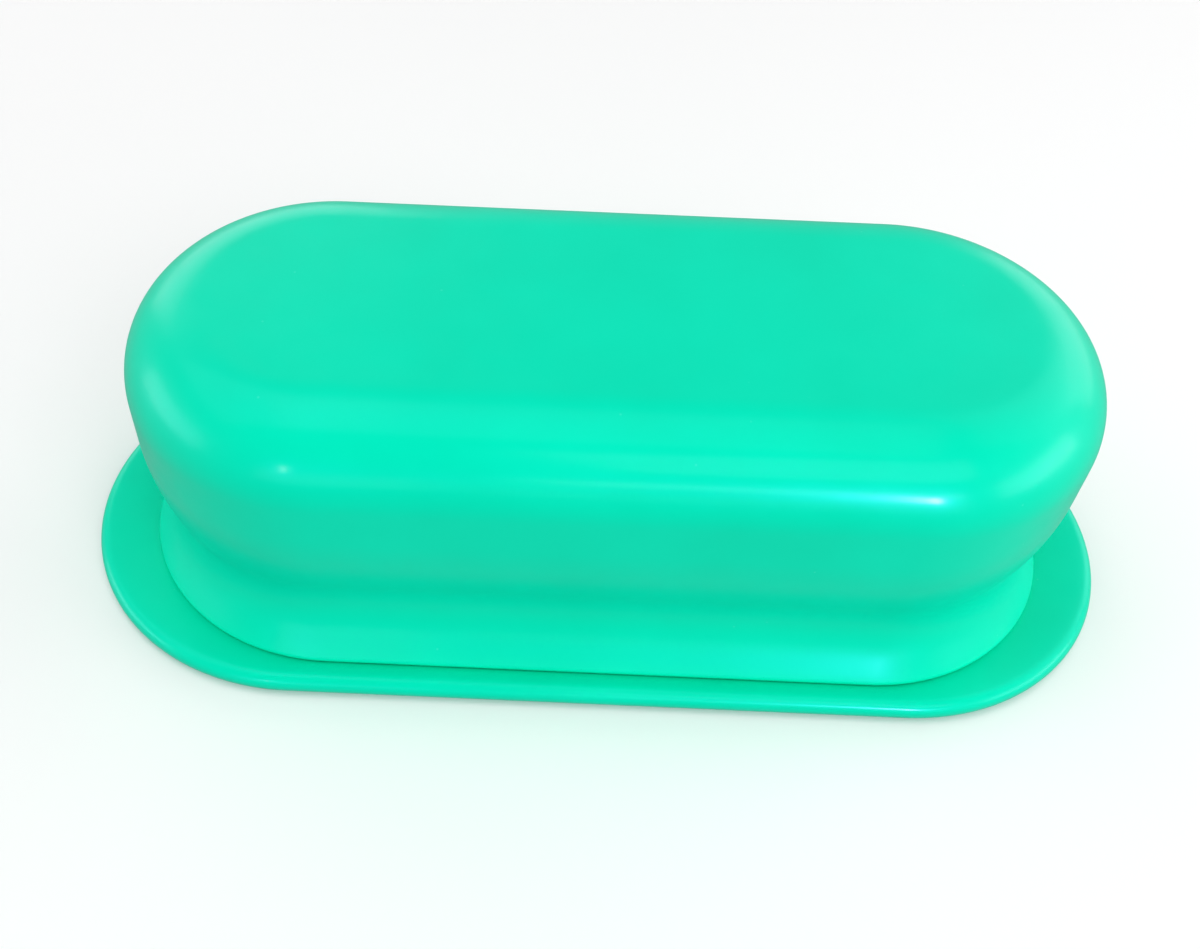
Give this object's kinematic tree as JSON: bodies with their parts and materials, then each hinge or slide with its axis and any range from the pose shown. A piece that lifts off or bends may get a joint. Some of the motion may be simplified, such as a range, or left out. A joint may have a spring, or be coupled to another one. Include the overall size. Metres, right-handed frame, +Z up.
{
  "type": "silicone soap mould with tray",
  "caption": "Deep stadium-shaped silicone soap mould with a rounded base, a necked wall and a flared lip, standing upside down on a shallow rimmed tray.",
  "frame": {"origin": "centre of the underside of the tray, on the table", "axes": "+X along the length of the mould and tray, +Y across, +Z up out of the table"},
  "size_m": [0.26, 0.1114, 0.0777],
  "materials": {
    "silicone_mould": "satin",
    "silicone_tray": "satin"
  },
  "bodies": {
    "tray": {"tray": "silicone_tray"},
    "mould": {"mould_body": "silicone_mould"}
  },
  "joints": [
    {"name": "mould_lift", "type": "slide", "parent": "tray", "child": "mould", "axis": [0, 0, 1], "range_m": [0, 0.1]}
  ]
}
